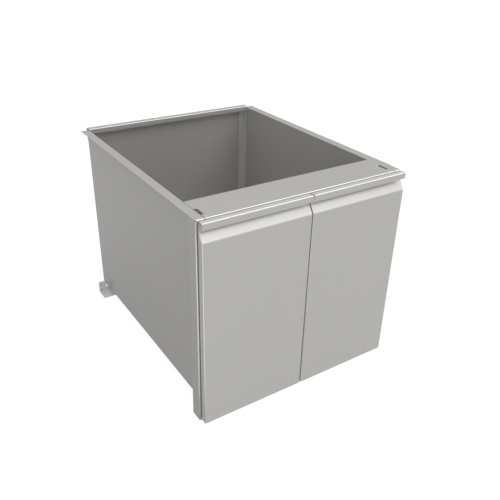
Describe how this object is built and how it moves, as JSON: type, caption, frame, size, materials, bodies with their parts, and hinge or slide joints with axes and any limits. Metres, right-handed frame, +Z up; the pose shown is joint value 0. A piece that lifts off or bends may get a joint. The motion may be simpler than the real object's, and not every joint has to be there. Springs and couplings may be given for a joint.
{
  "type": "under-counter waste cabinet",
  "caption": "Open-topped under-counter cabinet of folded stainless sheet, with grip doors on concealed hinges, to house a waste bin or compactor.",
  "frame": {"origin": "middle of the footprint at floor level", "axes": "+Z up, doors face -Y, +X to the right of someone facing the doors"},
  "size_m": [0.7, 0.861, 0.6559],
  "materials": {
    "cabinet_steel": "satin ground stainless sheet",
    "door_steel": "fine satin stainless sheet",
    "zinc_steel": "zinc plated folded steel",
    "nickel_plate": "satin nickel plated casting",
    "screw_steel": "bright stainless fastener",
    "bush_nylon": "moulded nylon",
    "catch_plastic": "moulded light grey plastic",
    "ferrite": "sintered ferrite magnet",
    "rubber": "matt moulded rubber"
  },
  "bodies": {
    "cabinet": {"back_panel": "cabinet_steel", "base_panel": "cabinet_steel", "front_rail": "cabinet_steel", "left_catch_housing": "catch_plastic", "left_catch_magnet": "ferrite", "left_corner_angle": "cabinet_steel", "left_foot_screw_1": "screw_steel", "left_foot_screw_2": "screw_steel", "left_front_post": "cabinet_steel", "left_lower_hinge_arm": "nickel_plate", "left_lower_hinge_bush": "bush_nylon", "left_lower_hinge_screw_1": "screw_steel", "left_lower_hinge_screw_2": "screw_steel", "left_rail_screw_1": "screw_steel", "left_rail_screw_2": "screw_steel", "left_rear_foot": "zinc_steel", "left_side_panel": "cabinet_steel", "left_upper_hinge_arm": "nickel_plate", "left_upper_hinge_bush": "bush_nylon", "left_upper_hinge_screw_1": "screw_steel", "left_upper_hinge_screw_2": "screw_steel", "rear_rail": "cabinet_steel", "right_catch_housing": "catch_plastic", "right_catch_magnet": "ferrite", "right_corner_angle": "cabinet_steel", "right_foot_screw_1": "screw_steel", "right_foot_screw_2": "screw_steel", "right_front_post": "cabinet_steel", "right_lower_hinge_arm": "nickel_plate", "right_lower_hinge_bush": "bush_nylon", "right_lower_hinge_screw_1": "screw_steel", "right_lower_hinge_screw_2": "screw_steel", "right_rail_screw_1": "screw_steel", "right_rail_screw_2": "screw_steel", "right_rear_foot": "zinc_steel", "right_side_panel": "cabinet_steel", "right_upper_hinge_arm": "nickel_plate", "right_upper_hinge_bush": "bush_nylon", "right_upper_hinge_screw_1": "screw_steel", "right_upper_hinge_screw_2": "screw_steel"},
    "left_door": {"left_door_bumper": "rubber", "left_door_liner": "door_steel", "left_door_skin": "door_steel", "left_door_stiffener": "cabinet_steel", "left_lower_hinge_cup": "nickel_plate", "left_lower_hinge_pin": "screw_steel", "left_strike_plate": "zinc_steel", "left_upper_hinge_cup": "nickel_plate", "left_upper_hinge_pin": "screw_steel"},
    "right_door": {"right_door_bumper": "rubber", "right_door_liner": "door_steel", "right_door_skin": "door_steel", "right_door_stiffener": "cabinet_steel", "right_lower_hinge_cup": "nickel_plate", "right_lower_hinge_pin": "screw_steel", "right_strike_plate": "zinc_steel", "right_upper_hinge_cup": "nickel_plate", "right_upper_hinge_pin": "screw_steel"}
  },
  "joints": [
    {"name": "left_door_hinge", "type": "hinge", "parent": "cabinet", "child": "left_door", "pos_m": [-0.3378, -0.421, 0], "axis": [0, 0, -1], "range_deg": [0, 105]},
    {"name": "right_door_hinge", "type": "hinge", "parent": "cabinet", "child": "right_door", "pos_m": [0.3378, -0.421, 0], "axis": [0, 0, 1], "range_deg": [0, 105]}
  ]
}
